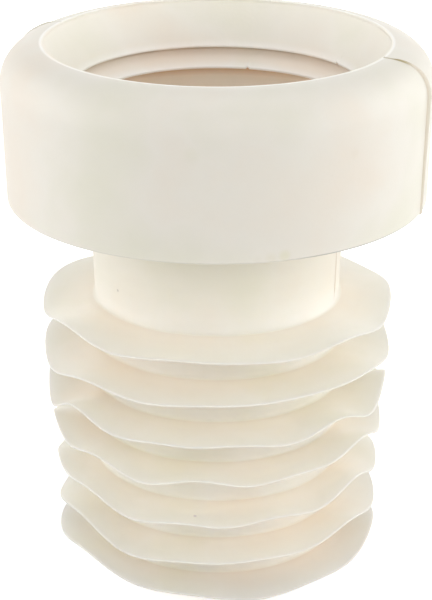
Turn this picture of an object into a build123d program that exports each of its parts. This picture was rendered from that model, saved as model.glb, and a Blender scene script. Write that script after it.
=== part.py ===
from build123d import *
import os
from math import cos, radians, sin

# Straight toilet pan connector, moulded in one piece from a soft cream plastic.
# Origin: centre of the flat outlet end that it stands on, with +Z up to the pan mouth.
# Azimuths are in degrees from the front (-Y) towards +X. Sizes are in millimetres.

# Overall
HEIGHT = 180.0
WALL = 3.0

# Pan socket: a wide cap with a rounded shoulder
CAP_RADIUS = 70.0
CAP_BASE_RADIUS = 69.0
CAP_DEPTH = 51.4
CAP_BASE_ROUND = 0.8
SHOULDER_HEIGHT = 12.5
MOUTH_RADIUS = 55.7
MOUTH_ROUND = 0.8

# Two sealing lips inside the socket, both sloping down and in from the inside of the shoulder,
# each with a short land at its edge. Roots are degrees up the shoulder's curve, and the lower
# lip's edge stands further in and further down than the upper one's.
LIP_LAND = 0.8
UPPER_LIP_RADIUS = 46.6
UPPER_LIP_DEPTH = 14.6
UPPER_LIP_ROOT = 80.0
LIP_STEP_IN = 3.1
LIP_STEP_DOWN = 6.7
LOWER_LIP_TOP_ROOT = 67.0
LOWER_LIP_BASE_ROOT = 48.0

# Neck, outlet pipe and waterway
NECK_TOP_RADIUS = 42.0
PIPE_RADIUS = 41.0
BORE_RADIUS = 38.0

# Flexible fins on the outlet, each gap a little smaller than the one above it
FIRST_FIN_DEPTH = 86.9
LAST_FIN_HEIGHT = 7.6
FIN_PITCH_STEP = 0.4
FIN_ROOT_THICKNESS = 2.0
FIN_EDGE_THICKNESS = 0.7
FIN_OVERLAP = 1.5
FIN_POINTS = 72

# How each fin has set, from the top: free radius, mean lift of its edge above its root,
# and the waves of the edge as (waves around, height, azimuth of a crest)
FINS = (
    (58.5, -1.4, ((2, 0.4, -58), (5, 0.5, 24), (7, 1.2, -7), (10, 0.4, 14))),
    (58.4, -1.4, ((2, 0.9, 12), (5, 0.9, -35), (7, 1.0, 5), (9, 0.5, -11))),
    (57.5, -0.6, ((4, 0.6, -41), (6, 0.7, 15), (8, 2.0, -6), (10, 1.4, 12))),
    (56.2, 0.4, ((3, 1.2, 54), (6, 0.8, -6), (8, 0.8, 6), (10, 1.3, -9))),
    (55.2, -0.5, ((3, 1.8, 53), (6, 0.9, -1), (8, 0.4, 10), (10, 1.1, -14))),
    (54.9, -0.8, ((3, 1.4, -53), (4, 1.5, 29), (6, 1.5, -3), (10, 0.5, -17))),
    (55.0, 0.1, ((2, 1.2, -61), (3, 1.5, -52), (5, 0.6, 12), (8, 0.8, -9))),
)

# Thin flash left along the mould's parting plane: it stands proudest where the shoulder meets
# the cap's side, and reaches that many degrees up the shoulder
FLASH_AZIMUTH = 70.0
FLASH_WIDTH = 0.9
FLASH_HEIGHT = 1.1
FLASH_BASE_HEIGHT = 0.6
FLASH_TOP_HEIGHT = 0.35
FLASH_REACH = 76.0
NECK_FLASH_WIDTH = 0.6
NECK_FLASH_HEIGHT = 0.2

cap_base = HEIGHT - CAP_DEPTH
floor_top = cap_base + WALL
shoulder_base = HEIGHT - SHOULDER_HEIGHT
shoulder_centre = MOUTH_RADIUS + MOUTH_ROUND
shoulder_width = CAP_RADIUS - shoulder_centre
first_fin = HEIGHT - FIRST_FIN_DEPTH
fin_gaps = len(FINS) - 1
mean_pitch = (first_fin - LAST_FIN_HEIGHT) / fin_gaps


def shoulder_arc(start, end, out, up):
    """Stretch of the shoulder's ellipse between two angles, grown outwards and upwards."""
    return EllipticalCenterArc(
        (shoulder_centre, shoulder_base),
        shoulder_width + out,
        SHOULDER_HEIGHT + up,
        start_angle=start,
        arc_size=end - start,
    )


def body_outline():
    """Half section of the moulding without its fins, from the axis outwards."""
    with BuildSketch(Plane.XZ) as section:
        with BuildLine():
            outer_wall = Polyline(
                (BORE_RADIUS, floor_top),
                (BORE_RADIUS, 0),
                (PIPE_RADIUS, 0),
                (PIPE_RADIUS, first_fin),
                (NECK_TOP_RADIUS, cap_base),
                (CAP_BASE_RADIUS - CAP_BASE_ROUND, cap_base),
            )
            base_round = RadiusArc(
                outer_wall @ 1,
                (CAP_BASE_RADIUS, cap_base + CAP_BASE_ROUND),
                -CAP_BASE_ROUND,
            )
            Line(base_round @ 1, (CAP_RADIUS, shoulder_base))
            outer_shoulder = shoulder_arc(0, 90, 0, 0)
            mouth = RadiusArc(
                outer_shoulder @ 1,
                (MOUTH_RADIUS, HEIGHT - MOUTH_ROUND),
                -MOUTH_ROUND,
            )
            between_lips = shoulder_arc(LOWER_LIP_TOP_ROOT, UPPER_LIP_ROOT, -WALL, -WALL)
            below_lips = shoulder_arc(0, LOWER_LIP_BASE_ROOT, -WALL, -WALL)
            upper_edge = HEIGHT - UPPER_LIP_DEPTH
            Polyline(
                mouth @ 1,
                (UPPER_LIP_RADIUS, upper_edge + LIP_LAND / 2),
                (UPPER_LIP_RADIUS, upper_edge - LIP_LAND / 2),
                between_lips @ 1,
            )
            lower_radius = UPPER_LIP_RADIUS - LIP_STEP_IN
            lower_edge = upper_edge - LIP_STEP_DOWN
            Polyline(
                between_lips @ 0,
                (lower_radius, lower_edge + LIP_LAND / 2),
                (lower_radius, lower_edge - LIP_LAND / 2),
                below_lips @ 1,
            )
            Polyline(
                below_lips @ 0,
                (CAP_BASE_RADIUS - WALL, floor_top),
                (BORE_RADIUS, floor_top),
            )
        make_face()
    return section.sketch


def ring(radius, height):
    """Closed curve about the axis, with its height a function of azimuth."""
    points = []
    for step in range(FIN_POINTS):
        azimuth = 360 * step / FIN_POINTS
        x = radius * sin(radians(azimuth))
        y = -radius * cos(radians(azimuth))
        points.append((x, y, height(azimuth)))
    return Edge.make_spline(points, periodic=True)


def fin(root_height, free_radius, lift, waves):
    """One thin wavy skirt: flat where it leaves the pipe, waving most at its edge."""

    def edge_height(azimuth):
        total = root_height + lift
        for count, size, crest in waves:
            total += size * cos(radians(count * (azimuth - crest)))
        return total

    inner = PIPE_RADIUS - FIN_OVERLAP
    half_root = FIN_ROOT_THICKNESS / 2
    half_edge = FIN_EDGE_THICKNESS / 2
    rings = [
        ring(inner, lambda azimuth: root_height + half_root),
        ring(free_radius, lambda azimuth: edge_height(azimuth) + half_edge),
        ring(free_radius, lambda azimuth: edge_height(azimuth) - half_edge),
        ring(inner, lambda azimuth: root_height - half_root),
    ]
    faces = [Face.make_surface_from_curves(a, b) for a, b in zip(rings, rings[1:] + rings[:1])]
    return Solid(Shell(faces))


def cap_flash():
    """Ridge up the side of the cap and over its shoulder, as far as it stays below the mouth."""
    depth = WALL / 2
    with BuildSketch(Plane.XZ) as section:
        with BuildLine():
            side = Line(
                (CAP_BASE_RADIUS + FLASH_BASE_HEIGHT, cap_base + CAP_BASE_ROUND),
                (CAP_RADIUS + FLASH_HEIGHT, shoulder_base),
            )
            crest = shoulder_arc(0, FLASH_REACH, FLASH_HEIGHT, FLASH_TOP_HEIGHT)
            buried = shoulder_arc(0, FLASH_REACH, -depth, -depth)
            Line(crest @ 1, buried @ 1)
            Polyline(buried @ 0, (CAP_BASE_RADIUS - depth, cap_base + CAP_BASE_ROUND), side @ 0)
        make_face()
    return extrude(section.sketch, FLASH_WIDTH / 2, both=True)


def neck_flash():
    """Fainter ridge down the neck, from the cap to the first fin."""
    with BuildSketch(Plane.XZ) as section:
        with BuildLine():
            Polyline(
                (PIPE_RADIUS - WALL / 2, first_fin),
                (PIPE_RADIUS + NECK_FLASH_HEIGHT, first_fin),
                (NECK_TOP_RADIUS + NECK_FLASH_HEIGHT, cap_base),
                (NECK_TOP_RADIUS - WALL / 2, cap_base),
                close=True,
            )
        make_face()
    return extrude(section.sketch, NECK_FLASH_WIDTH / 2, both=True)


def pan_connector():
    """The whole moulding as one solid."""
    connector = revolve(body_outline(), Axis.Z)
    fins = []
    root_height = first_fin
    pitch = mean_pitch + FIN_PITCH_STEP * (fin_gaps - 1) / 2
    for free_radius, lift, waves in FINS:
        fins.append(fin(root_height, free_radius, lift, waves))
        root_height -= pitch
        pitch -= FIN_PITCH_STEP
    connector = connector.fuse(*fins)
    flashes = []
    for azimuth in (FLASH_AZIMUTH, FLASH_AZIMUTH + 180):
        turn = Rot(0, 0, azimuth - 90)
        flashes.append(turn * cap_flash())
        flashes.append(turn * neck_flash())
    return connector.fuse(*flashes)


os.makedirs("parts", exist_ok=True)
export_step(pan_connector(), "parts/pan_connector.step")
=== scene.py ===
from collections import namedtuple
from math import atan2, ceil, cos, degrees, exp, hypot, pi, radians, sin, tan

import bmesh
import bpy
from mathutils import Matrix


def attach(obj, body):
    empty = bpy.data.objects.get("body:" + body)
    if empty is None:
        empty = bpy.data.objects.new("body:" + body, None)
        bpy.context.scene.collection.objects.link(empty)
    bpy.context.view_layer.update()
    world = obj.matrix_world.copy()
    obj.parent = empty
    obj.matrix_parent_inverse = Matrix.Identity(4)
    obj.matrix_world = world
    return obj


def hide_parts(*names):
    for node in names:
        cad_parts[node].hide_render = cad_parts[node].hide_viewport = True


# A soft cream toilet pan connector on a pale floor, seen from the front and a little above.
# Sizes are millimetres in the part's own frame, turned to metres where the mesh is made.
# Azimuths are degrees from the front (-Y) towards +X. Places on the shoulder are degrees up its
# quarter ellipse, from 0 where it meets the cap's side to 90 at the mouth.

MM = 0.001
NODE = "pan_connector"

# Socket, neck and pipe, as in the part
HEIGHT = 180.0
WALL = 3.0
CAP_RADIUS = 70.0
CAP_BASE_RADIUS = 69.0
CAP_DEPTH = 51.4
CAP_BASE_ROUND = 0.8
SHOULDER_HEIGHT = 12.5
MOUTH_RADIUS = 55.7
MOUTH_ROUND = 0.8
LIP_LAND = 0.8
UPPER_LIP_RADIUS = 46.6
UPPER_LIP_DEPTH = 14.6
UPPER_LIP_ROOT = 80.0
LIP_STEP_IN = 3.1
LIP_STEP_DOWN = 6.7
LOWER_LIP_TOP_ROOT = 67.0
LOWER_LIP_BASE_ROOT = 48.0
NECK_TOP_RADIUS = 42.0
PIPE_RADIUS = 41.0
BORE_RADIUS = 38.0

# Fins, as in the part: free radius, lift of the edge, waves as (count, height, crest azimuth)
FIRST_FIN_DEPTH = 86.9
LAST_FIN_HEIGHT = 7.6
FIN_PITCH_STEP = 0.4
FIN_ROOT_THICKNESS = 2.0
FIN_EDGE_THICKNESS = 0.7
FINS = (
    (58.5, -1.4, ((2, 0.4, -58), (5, 0.5, 24), (7, 1.2, -7), (10, 0.4, 14))),
    (58.4, -1.4, ((2, 0.9, 12), (5, 0.9, -35), (7, 1.0, 5), (9, 0.5, -11))),
    (57.5, -0.6, ((4, 0.6, -41), (6, 0.7, 15), (8, 2.0, -6), (10, 1.4, 12))),
    (56.2, 0.4, ((3, 1.2, 54), (6, 0.8, -6), (8, 0.8, 6), (10, 1.3, -9))),
    (55.2, -0.5, ((3, 1.8, 53), (6, 0.9, -1), (8, 0.4, 10), (10, 1.1, -14))),
    (54.9, -0.8, ((3, 1.4, -53), (4, 1.5, 29), (6, 1.5, -3), (10, 0.5, -17))),
    (55.0, 0.1, ((2, 1.2, -61), (3, 1.5, -52), (5, 0.6, 12), (8, 0.8, -9))),
)

# Flash of the parting line, as in the part, on both sides of the mould
FLASH_AZIMUTHS = (70.0, 250.0)
FLASH_WIDTH = 0.9
FLASH_HEIGHT = 1.1
FLASH_BASE_HEIGHT = 0.6
FLASH_TOP_HEIGHT = 0.35
FLASH_REACH = 76.0
NECK_FLASH_HEIGHT = 0.2

# End of the flash on the shoulder: the ridge sinks in within a few degrees of its reach, and its
# darker trace, a painted shadow line, runs on to the mouth, turning back by a small angle on the
# way.
# The surface takes up that turn over a span to each side.
FLASH_SINK = 6.0
FLASH_LEAN = 4.0
FLASH_LEAN_START = 35.0
FLASH_LEAN_SPAN = 14.0

# Section across the flash, in shares of its half width: the flat of the ridge, and where its
# painted shade is full and where it ends
FLASH_FLAT = 0.8
FLASH_SHADE_FULL = 1.1
FLASH_SHADE_END = 1.6

# Small roundings and tags that only the finished surface has. The span of a fin's root is a share
# of the fin's width, and that of a nib is in degrees.
FIN_ROOT_FILLET = 0.3
FIN_ROOT_SPAN = 0.06
LIP_EDGE_ROUND = 0.3
MOUTH_INNER_ROUND = 0.5
END_ROUND = 0.6
NECK_FILLET = 0.8
FLOOR_FILLET = 2.5
NIB_HEIGHT = 0.7
NIB_SPAN = 0.6
UPPER_NIB_AZIMUTH = 120.5
LOWER_NIB_AZIMUTH = 166.0

# Tones of the plastic, some with light and shade painted in: the rim and the lips' edges carry a
# painted highlight, the pipe is palest above each fin with painted bounce light, the fins are
# darker and pinker at their roots with painted shade, and the socket is warmest behind its lips,
# with painted warmth of bounced light and painted shade
CAP_TONE = (0.795, 0.76, 0.68)
RIM_HIGHLIGHT_TONE = (0.98, 0.96, 0.90)
INNER_TONE = (0.97, 0.925, 0.81)
LIP_SHADE_TONE = (0.96, 0.845, 0.705)
CAVITY_BOUNCE_TONE = (0.99, 0.71, 0.56)
CAVITY_SHADE_TONE = (0.58, 0.37, 0.24)
NECK_TONE = (0.82, 0.785, 0.685)
HUB_TONE = (0.955, 0.91, 0.81)
PIPE_BOUNCE_LIGHT_TONE = (0.955, 0.92, 0.82)
FIN_ROOT_SHADE_TONE = (0.865, 0.785, 0.69)
FIN_FACE_TONE = (0.955, 0.90, 0.745)
FIN_EDGE_TONE = (0.93, 0.87, 0.73)
# Painted shade along the flash, and the painted shadow line it darkens to towards the mouth
FLASH_SHADE_TONE = (0.72, 0.64, 0.53)
FLASH_SHADOW_LINE_TONE = (0.42, 0.35, 0.20)
BASE_LINE_TONE = (0.46, 0.44, 0.40)

# Where one tone turns into the next: degrees up the shoulder for the rim's painted highlight and
# the flash's painted shadow line, millimetres back from the lower lip's edge for its painted shade
# and up the neck for its painted bounce light, and the share of a fin's width
RIM_START = 87.0
RIM_FULL = 89.0
FLASH_TOP_START = 50.0
FLASH_TOP_FULL = 65.0
LIP_TONE_REACH = 4.0
NECK_FOOT = 14.0
FIN_FACE_START = 0.3

# How much of the painted shade each of the two flashes has
FLASH_SHADE_SHARES = (1.0, 0.3)

# Painted shadow of the lower lip: a darker band on the wall behind it, in millimetres below the
# lip's edge
SHADE_START = 2.5
SHADE_FULL = 4.0
SHADE_FADE = 6.6
SHADE_END = 9.6

# Painted shade under the cap's base edge, a dark line: its share all round, the azimuths between
# which it is full, and the degrees round the base's edge over which it comes in
BASE_LINE_SHARE = 0.25
BASE_LINE_START = 28.0
BASE_LINE_END = 62.0
BASE_LINE_FADE = 12.0
BASE_LINE_TURN_START = 8.0
BASE_LINE_TURN_FULL = 22.0

# Share of the light that scatters on through the plastic, and the share of a fin's width over
# which it grows from the pipe's to the fin's
CAVITY_THIN = 1.0
FIN_THIN = 1.0
PIPE_THIN = 0.6
CAP_THIN = 0.3
LIP_EDGE_THIN = 0.0
FIN_THIN_FULL = 0.3

# How far that light travels before it leaves again, and the share of that way that red, green and
# blue go
SCATTER = 7.0
CAVITY_SCATTER = 18.0
SCATTER_COLOURS = (1.0, 0.95, 0.85)

# Finish of the plastic: gloss, a soft sheen and a fine grain, with the noise scales per metre
PLASTIC_IOR = 1.48
ROUGHNESS_RANGE = (0.44, 0.6)
SHEEN_WEIGHT = 0.25
SHEEN_ROUGHNESS = 0.4
SHEEN_TINT = (1.0, 0.95, 0.85)
GRAIN_SCALE = 900.0
GRAIN_DETAIL = 2.0
GRAIN_STRENGTH = 0.08
GRAIN_DEPTH = 0.4

# Blotches: places on the noise's range, with what the tone is multiplied by there
BLOTCH_SCALE = 22.0
BLOTCH_DETAIL = 3.0
BLOTCH_HUES = (
    (0.34, (0.945, 0.96, 0.915)),
    (0.5, (1.0, 1.0, 1.0)),
    (0.66, (1.0, 0.96, 0.935)),
)

# Faint stains: azimuth, radius, height, size, strength, tone. The core is the share of the size
# within which a stain is full.
STAIN_CORE = 0.2
STAINS = (
    (17.0, 69.0, 130.5, 2.6, 0.30, (0.66, 0.64, 0.38)),
    (13.5, 69.0, 130.0, 2.6, 0.16, (0.66, 0.60, 0.38)),
    (10.0, 69.0, 129.5, 2.0, 0.10, (0.55, 0.48, 0.36)),
    (-6.0, 69.9, 163.0, 3.5, 0.12, (0.66, 0.66, 0.45)),
    (36.0, 69.8, 159.5, 2.5, 0.12, (0.70, 0.60, 0.45)),
    (-51.0, 41.3, 103.5, 0.7, 0.55, (0.40, 0.36, 0.32)),
    (-8.2, 50.3, 34.2, 0.8, 0.6, (0.50, 0.40, 0.46)),
)

# Mesh fineness: steps round the axis, degrees along a rounding and up the shoulder, millimetres
# along straight stretches, degrees round the cap's base edge and a fin's edge, and shares of a
# fin's width and of the pipe between two fins. The shoulder's steps crowd towards the mouth.
AZIMUTH_STEPS = 216
ARC_STEP = 14.0
FEWEST_ARC_STEPS = 3
SHOULDER_STEP = 3.0
SHOULDER_CROWDING = 1.4
LONGEST_STEP = 5.0
CAVITY_STEP = 2.0
BASE_ROUND_TURNS = (0, 10, 20, 30, 45, 60, 75, 90)
FIN_SHARES = (0.0, 0.03, 0.06, 0.2, 0.4, 0.6, 0.8, 0.95)
FIN_EDGE_TURNS = (90, 45, 0, -45, -90)
HUB_SHARES = (0.25, 0.5, 0.75, 0.92)

# Closer steps to each side of a flash and a nib, in shares of the flash's half width and the nib's
# span. The even steps go on outside the last of them times the clearance.
FLASH_STEPS = (0.4, 0.8, 1.0, 1.3, 1.6)
NIB_STEPS = (0.4, 0.8, 1.3, 2.0)
STEP_CLEARANCE = 1.2

# Largest share of a side that a rounding may take, and the slack in telling a lip's edge
ROUNDING_SHARE = 0.48
EDGE_SLACK = 0.01

# Softboxes round the part, all facing its middle: place and size in metres, power in watts. The
# world adds a faint light from all round.
SOFTBOXES = {
    "front_softbox": ((0.0, -1.06, 0.69), (0.7, 0.5), 4.3),
    "top_softbox": ((0.0, 0.05, 1.15), (0.9, 0.9), 4.6),
    "left_softbox": ((-1.05, -0.45, 0.3), (0.8, 0.9), 5.3),
    "right_softbox": ((1.05, -0.45, 0.3), (0.8, 0.9), 6.2),
    "left_back_softbox": ((-1.0, 0.3, 0.4), (0.8, 0.9), 4.2),
    "right_back_softbox": ((1.0, 0.3, 0.4), (0.8, 0.9), 4.8),
    "back_softbox": ((0.0, 1.1, 0.4), (0.9, 0.7), 2.2),
}
WORLD_LIGHT = 0.03

# Floor, in metres: its glow to the camera grows from a level near the part to 1, white, further off
FLOOR_SIZE = 8.0
FLOOR_COLOUR = (0.9, 0.9, 0.9)
FLOOR_ROUGHNESS = 0.9
FLOOR_GLOW = 0.6
FLOOR_NEAR = 0.25
FLOOR_FAR = 0.9

# Camera, fitted to the photograph, in millimetres, pixels and radians
PHOTO_HEIGHT_PX = 600
FOCAL_PX = 1978.2
CAMERA_PLACE = (-0.35, -619.9, 339.0)
CAMERA_TILT = 0.3823
SENSOR = 36.0
CLIP_START = 10.0

cap_base = HEIGHT - CAP_DEPTH
floor_top = cap_base + WALL
shoulder_base = HEIGHT - SHOULDER_HEIGHT
shoulder_centre = MOUTH_RADIUS + MOUTH_ROUND
shoulder_width = CAP_RADIUS - shoulder_centre
upper_edge = HEIGHT - UPPER_LIP_DEPTH
lower_edge = upper_edge - LIP_STEP_DOWN
lower_radius = UPPER_LIP_RADIUS - LIP_STEP_IN
first_fin = HEIGHT - FIRST_FIN_DEPTH
fin_gaps = len(FINS) - 1
mean_pitch = (first_fin - LAST_FIN_HEIGHT) / fin_gaps
fin_root_reach = FIN_ROOT_THICKNESS / 2 + FIN_ROOT_FILLET
flash_half_angle = degrees(FLASH_WIDTH / 2 / CAP_RADIUS)

# One point of the section: where it is, its tone, the share and the reach of the light that passes
# through it, the fin and the share of that fin's waves that it follows, the flash and the azimuth
# of a nib there, and how much of the cap's base line shows
Station = namedtuple(
    "Station",
    "radius height tone thin scatter fin share flash nib line",
    defaults=(SCATTER, 0, 0.0, None, None, 0.0),
)

# The flash at one point of the section: how far it stands out and up, how many degrees it turns
# back round the axis, and the tone of its painted shade
Flash = namedtuple("Flash", "out up lean tone")

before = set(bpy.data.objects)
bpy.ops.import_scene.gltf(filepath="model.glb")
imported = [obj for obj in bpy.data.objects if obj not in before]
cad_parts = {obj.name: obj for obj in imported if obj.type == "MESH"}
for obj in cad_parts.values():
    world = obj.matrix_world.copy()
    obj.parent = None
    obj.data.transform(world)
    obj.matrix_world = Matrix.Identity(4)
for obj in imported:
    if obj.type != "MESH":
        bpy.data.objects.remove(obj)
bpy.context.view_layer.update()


def mixed(a, b, share):
    """Tone between two tones."""
    return tuple(p + (q - p) * share for p, q in zip(a, b))


def eased(low, high, value):
    """Smooth step from 0 at low to 1 at high."""
    t = min(1.0, max(0.0, (value - low) / (high - low)))
    return t * t * (3 - 2 * t)


def rounded(corners):
    """Path through (radius, height, rounding) corners, each eased by a curve about that round."""
    path = []
    for index, (x, z, rounding) in enumerate(corners):
        if rounding == 0 or index in (0, len(corners) - 1):
            path.append((x, z))
            continue
        before = corners[index - 1]
        after = corners[index + 1]
        in_x, in_z = before[0] - x, before[1] - z
        out_x, out_z = after[0] - x, after[1] - z
        in_length = hypot(in_x, in_z)
        out_length = hypot(out_x, out_z)
        in_x, in_z = in_x / in_length, in_z / in_length
        out_x, out_z = out_x / out_length, out_z / out_length
        half = atan2(abs(in_x * out_z - in_z * out_x), in_x * out_x + in_z * out_z) / 2
        reach = min(rounding / tan(half), ROUNDING_SHARE * min(in_length, out_length))
        steps = max(FEWEST_ARC_STEPS, round((180 - 2 * degrees(half)) / ARC_STEP))
        for step in range(steps + 1):
            t = step / steps
            a = (1 - t) ** 2 * reach
            b = t ** 2 * reach
            path.append((x + in_x * a + out_x * b, z + in_z * a + out_z * b))
    return path


def stretched(path, longest):
    """The same path with points added so that no step is longer than that."""
    fine = [path[0]]
    for (x0, z0), (x1, z1) in zip(path, path[1:]):
        steps = max(1, ceil(hypot(x1 - x0, z1 - z0) / longest))
        for step in range(1, steps + 1):
            t = step / steps
            fine.append((x0 + (x1 - x0) * t, z0 + (z1 - z0) * t))
    return fine


def inner_shoulder(start, end):
    """Stretch of the inside of the shoulder between two angles up it."""
    steps = round((end - start) / SHOULDER_STEP)
    points = []
    for step in range(steps + 1):
        angle = radians(start + (end - start) * step / steps)
        x = shoulder_centre + (shoulder_width - WALL) * cos(angle)
        points.append((x, shoulder_base + (SHOULDER_HEIGHT - WALL) * sin(angle)))
    return points


def shoulder_outside():
    """Stations down the outside of the shoulder, from the mouth to the cap's side."""
    stations = []
    steps = round(90 / SHOULDER_STEP)
    for step in range(steps):
        turn = 90 - 90 * (step / steps) ** SHOULDER_CROWDING
        across, up = cos(radians(turn)), sin(radians(turn))
        proud = eased(FLASH_REACH + FLASH_SINK, FLASH_REACH - FLASH_SINK, turn)
        # The flash's painted shade darkens to a painted shadow line towards the mouth
        flash = Flash(
            FLASH_HEIGHT * across * proud,
            FLASH_TOP_HEIGHT * up * proud,
            FLASH_LEAN * eased(FLASH_LEAN_START, 90, turn),
            mixed(FLASH_SHADE_TONE, FLASH_SHADOW_LINE_TONE, eased(FLASH_TOP_START, FLASH_TOP_FULL, turn)),
        )
        x = shoulder_centre + shoulder_width * across
        z = shoulder_base + SHOULDER_HEIGHT * up
        # Painted highlight along the mouth's rim
        tone = mixed(CAP_TONE, RIM_HIGHLIGHT_TONE, eased(RIM_START, RIM_FULL, turn))
        stations.append(Station(x, z, tone, CAP_THIN, flash=flash))
    return stations


def cap_side():
    """Stations down the side of the cap and round its base edge."""
    stations = []
    bottom = cap_base + CAP_BASE_ROUND
    side = stretched([(CAP_RADIUS, shoulder_base), (CAP_BASE_RADIUS, bottom)], LONGEST_STEP)
    for x, z in side[:-1]:
        share = (z - bottom) / (shoulder_base - bottom)
        proud = FLASH_BASE_HEIGHT + (FLASH_HEIGHT - FLASH_BASE_HEIGHT) * share
        flash = Flash(proud, 0.0, 0.0, FLASH_SHADE_TONE)
        stations.append(Station(x, z, CAP_TONE, CAP_THIN, flash=flash))
    for turn in BASE_ROUND_TURNS:
        across, down = cos(radians(turn)), sin(radians(turn))
        x = CAP_BASE_RADIUS - CAP_BASE_ROUND * (1 - across)
        z = bottom - CAP_BASE_ROUND * down
        flash = Flash(FLASH_BASE_HEIGHT * across, 0.0, 0.0, FLASH_SHADE_TONE)
        line = eased(BASE_LINE_TURN_START, BASE_LINE_TURN_FULL, turn)
        stations.append(Station(x, z, CAP_TONE, CAP_THIN, flash=flash, line=line))
    return stations


def neck():
    """Stations under the cap and down the neck to the first fin."""
    foot = first_fin + fin_root_reach
    path = rounded(
        (
            (CAP_BASE_RADIUS - 2 * CAP_BASE_ROUND, cap_base, 0),
            (NECK_TOP_RADIUS, cap_base, NECK_FILLET),
            (PIPE_RADIUS, foot, 0),
        )
    )
    stations = []
    for x, z in stretched(path, LONGEST_STEP)[:-1]:
        # Painted light bounced up from the first fin: the neck is palest at its foot
        tone = mixed(PIPE_BOUNCE_LIGHT_TONE, NECK_TONE, eased(foot, foot + NECK_FOOT, z))
        flash = None
        if z < cap_base - NECK_FILLET:
            flash = Flash(NECK_FLASH_HEIGHT, 0.0, 0.0, FLASH_SHADE_TONE)
        stations.append(Station(x, z, tone, PIPE_THIN, flash=flash))
    return stations


def fin_edge_lift(index, azimuth):
    """Height of a fin's edge above its root."""
    _, lift, waves = FINS[index]
    for count, size, crest in waves:
        lift += size * cos(radians(count * (azimuth - crest)))
    return lift


def fin_face(index, root_height, share, side):
    """Station a share of the way out along a fin, on its top face (side 1) or underneath (-1)."""
    half_root = FIN_ROOT_THICKNESS / 2
    half_edge = FIN_EDGE_THICKNESS / 2
    edge_centre = FINS[index][0] - half_edge
    fillet = FIN_ROOT_FILLET * max(0.0, 1 - share / FIN_ROOT_SPAN) ** 2
    half = half_root + (half_edge - half_root) * share + fillet
    radius = PIPE_RADIUS + (edge_centre - PIPE_RADIUS) * share
    pipe_tone = PIPE_BOUNCE_LIGHT_TONE if side > 0 else HUB_TONE
    # Painted shade in the crease at the fin's root, lightening out towards its edge
    tone = mixed(pipe_tone, FIN_ROOT_SHADE_TONE, eased(FIN_ROOT_SPAN / 3, FIN_ROOT_SPAN, share))
    tone = mixed(tone, FIN_FACE_TONE, eased(FIN_FACE_START, 1.0, share))
    thin = PIPE_THIN + (FIN_THIN - PIPE_THIN) * eased(0.0, FIN_THIN_FULL, share)
    return Station(radius, root_height + side * half, tone, thin, fin=index, share=share)


def fin(index, root_height):
    """Stations of a fin, out along its top face, round its edge and back underneath."""
    half_edge = FIN_EDGE_THICKNESS / 2
    edge_centre = FINS[index][0] - half_edge
    stations = [fin_face(index, root_height, share, 1) for share in FIN_SHARES]
    for turn in FIN_EDGE_TURNS:
        x = edge_centre + half_edge * cos(radians(turn))
        z = root_height + half_edge * sin(radians(turn))
        stations.append(Station(x, z, FIN_EDGE_TONE, FIN_THIN, fin=index, share=1.0))
    return stations + [fin_face(index, root_height, share, -1) for share in reversed(FIN_SHARES)]


def hub(top, bottom):
    """Stations down the pipe between two fins, palest just above the lower one with painted light
    bounced off that fin.
    """
    stations = []
    for share in HUB_SHARES:
        tone = mixed(HUB_TONE, PIPE_BOUNCE_LIGHT_TONE, share)
        stations.append(Station(PIPE_RADIUS, top + (bottom - top) * share, tone, PIPE_THIN))
    return stations


def lip(root, radius, height, onward, nib):
    """Stations of a sealing lip, from its underside round its edge, which carries a painted
    highlight, to its top face.
    """
    half_land = LIP_LAND / 2
    path = rounded(
        (
            (*root, 0),
            (radius, height - half_land, LIP_EDGE_ROUND),
            (radius, height + half_land, LIP_EDGE_ROUND),
            *onward,
        )
    )
    stations = []
    over_edge = False
    for x, z in stretched(path, LONGEST_STEP / 2)[1:-1]:
        over_edge = over_edge or x < radius + EDGE_SLACK
        at_edge = x < radius + LIP_EDGE_ROUND
        behind = 1.0
        if over_edge:
            # Painted shade: of the top faces, only the lower lip's darkens, where it shows below
            # the upper lip
            below_upper_lip = z < upper_edge - LIP_LAND
            behind = eased(radius, radius + LIP_TONE_REACH, x) if below_upper_lip else 0.0
        tone = mixed(INNER_TONE, LIP_SHADE_TONE, behind)
        thin = CAP_THIN
        # Painted highlight along the lip's edge
        if at_edge and z > height - half_land + LIP_EDGE_ROUND / 2:
            tone = RIM_HIGHLIGHT_TONE
            thin = LIP_EDGE_THIN
        stations.append(Station(x, z, tone, thin, nib=nib if at_edge else None))
    return stations


def cavity_tone(height):
    """Tone of the bore, the cap's floor and its inner wall: painted warmth of light bounced round
    the socket, with a painted shadow band behind the lower lip.
    """
    below = lower_edge - height
    shade = eased(SHADE_START, SHADE_FULL, below) * eased(SHADE_END, SHADE_FADE, below)
    return mixed(CAVITY_BOUNCE_TONE, CAVITY_SHADE_TONE, shade)


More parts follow.
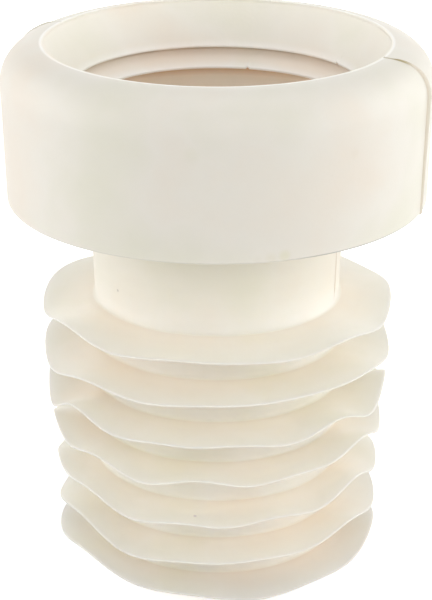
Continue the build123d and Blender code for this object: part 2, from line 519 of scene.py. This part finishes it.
def inside():
    """Stations from the pipe's end up the bore, over the floor and both lips to the mouth."""
    below_lips = inner_shoulder(0, LOWER_LIP_BASE_ROOT)
    between_lips = inner_shoulder(LOWER_LIP_TOP_ROOT, UPPER_LIP_ROOT)
    pipe = rounded(
        (
            (PIPE_RADIUS, LAST_FIN_HEIGHT / 2, 0),
            (PIPE_RADIUS, 0, END_ROUND),
            (BORE_RADIUS, 0, END_ROUND),
            (BORE_RADIUS, floor_top, 2 * END_ROUND),
            (CAP_BASE_RADIUS - WALL, floor_top, FLOOR_FILLET),
            (*below_lips[0], 0),
        )
    )
    wall = stretched(pipe[-2:], CAVITY_STEP)
    stations = []
    for x, z in stretched(pipe[:-1], 2 * LONGEST_STEP) + wall[1:] + below_lips[1:]:
        tone = HUB_TONE if z < END_ROUND else cavity_tone(z)
        stations.append(Station(x, z, tone, CAVITY_THIN, CAVITY_SCATTER))
    lower_root = ((*between_lips[0], 0),)
    stations += lip(below_lips[-1], lower_radius, lower_edge, lower_root, LOWER_NIB_AZIMUTH)
    # Painted shade under the upper lip, between the two lips
    stations += [Station(x, z, LIP_SHADE_TONE, CAP_THIN) for x, z in between_lips]
    mouth = (
        (MOUTH_RADIUS, HEIGHT - MOUTH_ROUND, MOUTH_INNER_ROUND),
        (MOUTH_RADIUS, HEIGHT, MOUTH_ROUND),
        (shoulder_centre, HEIGHT, 0),
    )
    stations += lip(between_lips[-1], UPPER_LIP_RADIUS, upper_edge, mouth, UPPER_NIB_AZIMUTH)
    return stations


def profile():
    """All the stations of the closed section, down the outside and back up the inside."""
    stations = shoulder_outside() + cap_side() + neck()
    root_height = first_fin
    pitch = mean_pitch + FIN_PITCH_STEP * (fin_gaps - 1) / 2
    for index in range(len(FINS)):
        stations += fin(index, root_height)
        if index < fin_gaps:
            stations += hub(root_height - fin_root_reach, root_height - pitch + fin_root_reach)
        root_height -= pitch
        pitch -= FIN_PITCH_STEP
    return stations + inside()


def azimuths():
    """Even steps round the axis, with closer ones over each flash and each nib."""
    special = {}
    for flash in FLASH_AZIMUTHS:
        special[flash] = [flash_half_angle * share for share in FLASH_STEPS]
    for nib in (UPPER_NIB_AZIMUTH, LOWER_NIB_AZIMUTH):
        special[nib] = [NIB_SPAN * share for share in NIB_STEPS]
    angles = []
    for step in range(AZIMUTH_STEPS):
        angle = 360 * step / AZIMUTH_STEPS
        if all(abs(angle - place) > STEP_CLEARANCE * steps[-1] for place, steps in special.items()):
            angles.append(angle)
    for place, steps in special.items():
        angles.append(place)
        for offset in steps:
            angles += [place - offset, place + offset]
    return sorted(angles)


def from_flash(azimuth):
    """Degrees from an azimuth to the nearest flash."""
    return min(abs(azimuth - flash) for flash in FLASH_AZIMUTHS)


def flash_rise(azimuth):
    """How much of the flash's height stands at an azimuth: a narrow ridge with steep sides."""
    return eased(1.0, FLASH_FLAT, from_flash(azimuth) / flash_half_angle)


def flash_shade(azimuth):
    """How much of the flash's painted shade shows at an azimuth: a little wider than the ridge."""
    mark = 0.0
    for flash, share in zip(FLASH_AZIMUTHS, FLASH_SHADE_SHARES):
        across = abs(azimuth - flash) / flash_half_angle
        mark += share * eased(FLASH_SHADE_END, FLASH_SHADE_FULL, across)
    return mark


def flash_lean(azimuth):
    """Share of the flash's turn that the surface round it takes up at an azimuth."""
    return eased(FLASH_LEAN_SPAN, 0.0, from_flash(azimuth))


def base_line(azimuth):
    """How dark the painted shade line under the cap's base edge is at an azimuth."""
    start = eased(BASE_LINE_START - BASE_LINE_FADE, BASE_LINE_START, azimuth)
    end = eased(BASE_LINE_END + BASE_LINE_FADE, BASE_LINE_END, azimuth)
    return BASE_LINE_SHARE + (1 - BASE_LINE_SHARE) * start * end


def in_metres(radius, azimuth, height):
    """Point in metres at a radius, azimuth and height."""
    x, y = radius * sin(radians(azimuth)), -radius * cos(radians(azimuth))
    return (x * MM, y * MM, height * MM)


def moved(point, azimuth, lift):
    """A station's place and tone at an azimuth, with the flash, nibs and waves."""
    radius = point.radius
    height = point.height + point.share * lift
    # Painted shade line under the cap's base edge
    tone = mixed(point.tone, BASE_LINE_TONE, point.line * base_line(azimuth))
    turn = azimuth
    if point.flash is not None:
        rise = flash_rise(azimuth)
        radius += point.flash.out * rise
        height += point.flash.up * rise
        # Painted shade along the flash and just beside it
        tone = mixed(tone, point.flash.tone, flash_shade(azimuth))
        turn -= point.flash.lean * flash_lean(azimuth)
    if point.nib is not None:
        tag = exp(-((azimuth - point.nib) / NIB_SPAN) ** 2)
        radius -= NIB_HEIGHT / 3 * tag
        height += NIB_HEIGHT * tag
    return in_metres(radius, turn, height), tone


def build_moulding():
    """One closed mesh: the section carried round the axis."""
    stations = profile()
    bm = bmesh.new()
    tone_layer = bm.verts.layers.float_color.new("tone")
    thin_layer = bm.verts.layers.float.new("thin")
    scatter_layer = bm.verts.layers.float.new("scatter")
    rows = []
    for angle in azimuths():
        lifts = [fin_edge_lift(index, angle) for index in range(len(FINS))]
        row = []
        for point in stations:
            place, tone = moved(point, angle, lifts[point.fin])
            vert = bm.verts.new(place)
            vert[tone_layer] = (*tone, 1.0)
            vert[thin_layer] = point.thin
            vert[scatter_layer] = point.scatter * MM
            row.append(vert)
        rows.append(row)
    count = len(stations)
    for a, b in zip(rows, rows[1:] + rows[:1]):
        for i in range(count):
            j = (i + 1) % count
            bm.faces.new((a[i], a[j], b[j], b[i]))
    bmesh.ops.recalc_face_normals(bm, faces=bm.faces)
    mesh = bpy.data.meshes.new("connector_moulding")
    bm.to_mesh(mesh)
    bm.free()
    mesh.shade_smooth()
    moulding = bpy.data.objects.new("connector_moulding", mesh)
    bpy.context.scene.collection.objects.link(moulding)
    return moulding


def new_material(name):
    """New material with nodes: the material, its nodes, its links and its shader."""
    material = bpy.data.materials.new(name)
    material.use_nodes = True
    nodes = material.node_tree.nodes
    return material, nodes, material.node_tree.links, nodes["Principled BSDF"]


def add_attribute(nodes, name):
    """Node that reads a value kept at the mesh's points."""
    attribute = nodes.new("ShaderNodeAttribute")
    attribute.attribute_name = name
    return attribute


def add_noise(nodes, links, place, scale, detail):
    """Noise texture in the object's own space, as a socket."""
    noise = nodes.new("ShaderNodeTexNoise")
    noise.inputs["Scale"].default_value = scale
    noise.inputs["Detail"].default_value = detail
    links.new(place.outputs["Object"], noise.inputs["Vector"])
    return noise.outputs["Fac"]


def add_blotches(nodes, links, colour, noise):
    """Shift a colour's hue in soft blotches, and return the blotched colour's socket."""
    hue = nodes.new("ShaderNodeValToRGB")
    stops = hue.color_ramp.elements
    stops.remove(stops[1])
    for index, (position, tint) in enumerate(BLOTCH_HUES):
        stop = stops[0] if index == 0 else stops.new(position)
        stop.position = position
        stop.color = (*tint, 1)
    links.new(noise, hue.inputs["Fac"])
    blotched = nodes.new("ShaderNodeMixRGB")
    blotched.blend_type = "MULTIPLY"
    blotched.inputs["Fac"].default_value = 1.0
    links.new(colour, blotched.inputs["Color1"])
    links.new(hue.outputs["Color"], blotched.inputs["Color2"])
    return blotched.outputs["Color"]


def add_stain(nodes, links, place, colour, mark):
    """Tint a colour over a soft round spot, and return the tinted colour's socket."""
    azimuth, radius, height, size, strength, tone = mark
    spot = nodes.new("ShaderNodeVectorMath")
    spot.operation = "DISTANCE"
    spot.inputs[1].default_value = in_metres(radius, azimuth, height)
    links.new(place.outputs["Object"], spot.inputs[0])
    fade = nodes.new("ShaderNodeMapRange")
    fade.interpolation_type = "SMOOTHSTEP"
    fade.inputs["From Min"].default_value = STAIN_CORE * size * MM
    fade.inputs["From Max"].default_value = size * MM
    fade.inputs["To Min"].default_value = strength
    fade.inputs["To Max"].default_value = 0.0
    links.new(spot.outputs["Value"], fade.inputs["Value"])
    tinted = nodes.new("ShaderNodeMixRGB")
    tinted.inputs["Color2"].default_value = (*tone, 1)
    links.new(fade.outputs["Result"], tinted.inputs["Fac"])
    links.new(colour, tinted.inputs["Color1"])
    return tinted.outputs["Color"]


def moulding_material():
    """Soft cream plastic: slightly translucent, faintly blotched and stained, with a fine grain."""
    material, nodes, links, shader = new_material("soft_cream_plastic")
    shader.inputs["IOR"].default_value = PLASTIC_IOR
    shader.inputs["Subsurface Radius"].default_value = SCATTER_COLOURS
    shader.inputs["Sheen Weight"].default_value = SHEEN_WEIGHT
    shader.inputs["Sheen Roughness"].default_value = SHEEN_ROUGHNESS
    shader.inputs["Sheen Tint"].default_value = (*SHEEN_TINT, 1)
    links.new(add_attribute(nodes, "thin").outputs["Fac"], shader.inputs["Subsurface Weight"])
    links.new(add_attribute(nodes, "scatter").outputs["Fac"], shader.inputs["Subsurface Scale"])

    place = nodes.new("ShaderNodeTexCoord")
    blotches = add_noise(nodes, links, place, BLOTCH_SCALE, BLOTCH_DETAIL)
    # The tone kept at the mesh's points carries the painted highlight, bounce light and shade
    tone = add_attribute(nodes, "tone")
    colour = add_blotches(nodes, links, tone.outputs["Color"], blotches)
    for mark in STAINS:
        colour = add_stain(nodes, links, place, colour, mark)
    links.new(colour, shader.inputs["Base Color"])

    rough = nodes.new("ShaderNodeMapRange")
    rough.inputs["To Min"].default_value = ROUGHNESS_RANGE[0]
    rough.inputs["To Max"].default_value = ROUGHNESS_RANGE[1]
    links.new(blotches, rough.inputs["Value"])
    links.new(rough.outputs["Result"], shader.inputs["Roughness"])

    bump = nodes.new("ShaderNodeBump")
    bump.inputs["Strength"].default_value = GRAIN_STRENGTH
    bump.inputs["Distance"].default_value = GRAIN_DEPTH * MM
    grain = add_noise(nodes, links, place, GRAIN_SCALE, GRAIN_DETAIL)
    links.new(grain, bump.inputs["Height"])
    links.new(bump.outputs["Normal"], shader.inputs["Normal"])
    return material


def add_seen(nodes, links):
    """Socket that is 1 where the camera, a reflection or a clear piece shows the background."""
    path = nodes.new("ShaderNodeLightPath")
    seen = path.outputs["Is Camera Ray"]
    for ray in ("Is Glossy Ray", "Is Transmission Ray"):
        either = nodes.new("ShaderNodeMath")
        either.operation = "MAXIMUM"
        links.new(seen, either.inputs[0])
        links.new(path.outputs[ray], either.inputs[1])
        seen = either.outputs["Value"]
    return seen


def floor_material():
    """Matt and pale, with a glow that only the camera and reflections see, weakest at the part."""
    material, nodes, links, shader = new_material("pale_floor")
    shader.inputs["Base Color"].default_value = (*FLOOR_COLOUR, 1)
    shader.inputs["Roughness"].default_value = FLOOR_ROUGHNESS
    shader.inputs["Specular IOR Level"].default_value = 0.0
    place = nodes.new("ShaderNodeTexCoord")
    distance = nodes.new("ShaderNodeVectorMath")
    distance.operation = "LENGTH"
    links.new(place.outputs["Object"], distance.inputs[0])
    level = nodes.new("ShaderNodeMapRange")
    level.inputs["From Min"].default_value = FLOOR_NEAR
    level.inputs["From Max"].default_value = FLOOR_FAR
    level.inputs["To Min"].default_value = FLOOR_GLOW
    level.inputs["To Max"].default_value = 1.0
    links.new(distance.outputs["Value"], level.inputs["Value"])
    strength = nodes.new("ShaderNodeMath")
    strength.operation = "MULTIPLY"
    links.new(level.outputs["Result"], strength.inputs[0])
    links.new(add_seen(nodes, links), strength.inputs[1])
    glow = nodes.new("ShaderNodeEmission")
    links.new(strength.outputs["Value"], glow.inputs["Strength"])
    both = nodes.new("ShaderNodeAddShader")
    links.new(shader.outputs["BSDF"], both.inputs[0])
    links.new(glow.outputs["Emission"], both.inputs[1])
    links.new(both.outputs["Shader"], nodes["Material Output"].inputs["Surface"])
    return material


def add_floor():
    """Pale floor that is white to the camera and keeps the part's soft shadow."""
    bpy.ops.mesh.primitive_plane_add(size=FLOOR_SIZE, location=(0, 0, 0))
    floor = bpy.context.active_object
    floor.name = "floor"
    floor.data.materials.append(floor_material())


def add_world():
    """White to the camera and in reflections, and only a faint light on the part."""
    world = bpy.data.worlds.new("studio")
    bpy.context.scene.world = world
    world.use_nodes = True
    nodes = world.node_tree.nodes
    links = world.node_tree.links
    background = nodes["Background"]
    background.inputs["Color"].default_value = (1, 1, 1, 1)
    level = nodes.new("ShaderNodeMapRange")
    level.inputs["To Min"].default_value = WORLD_LIGHT
    level.inputs["To Max"].default_value = 1.0
    links.new(add_seen(nodes, links), level.inputs["Value"])
    links.new(level.outputs["Result"], background.inputs["Strength"])


def add_softbox(name, place, aim, size, power):
    """A large soft lamp at a place, facing a point."""
    lamp = bpy.data.lights.new(name, "AREA")
    lamp.shape = "RECTANGLE"
    lamp.size = size[0]
    lamp.size_y = size[1]
    lamp.energy = power
    softbox = bpy.data.objects.new(name, lamp)
    softbox.location = place
    x, y, z = (a - b for a, b in zip(aim, place))
    softbox.rotation_euler = (atan2(hypot(x, y), -z), 0, atan2(y, x) - pi / 2)
    softbox.visible_camera = False
    bpy.context.scene.collection.objects.link(softbox)


def add_camera():
    """Camera at the photograph's viewing angle and distance."""
    camera_data = bpy.data.cameras.new("camera")
    camera_data.sensor_fit = "VERTICAL"
    camera_data.sensor_height = SENSOR
    camera_data.lens = FOCAL_PX * SENSOR / PHOTO_HEIGHT_PX
    camera_data.clip_start = CLIP_START * MM
    camera = bpy.data.objects.new("camera", camera_data)
    camera.location = [value * MM for value in CAMERA_PLACE]
    camera.rotation_euler = (pi / 2 - CAMERA_TILT, 0, 0)
    bpy.context.scene.collection.objects.link(camera)
    bpy.context.scene.camera = camera


moulding = build_moulding()
moulding.data.materials.append(moulding_material())
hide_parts(NODE)
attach(moulding, "root")

add_floor()
add_world()
middle = (0, 0, HEIGHT / 2 * MM)
for name, (place, size, power) in SOFTBOXES.items():
    add_softbox(name, place, middle, size, power)
add_camera()
bpy.context.scene.view_settings.view_transform = "Standard"
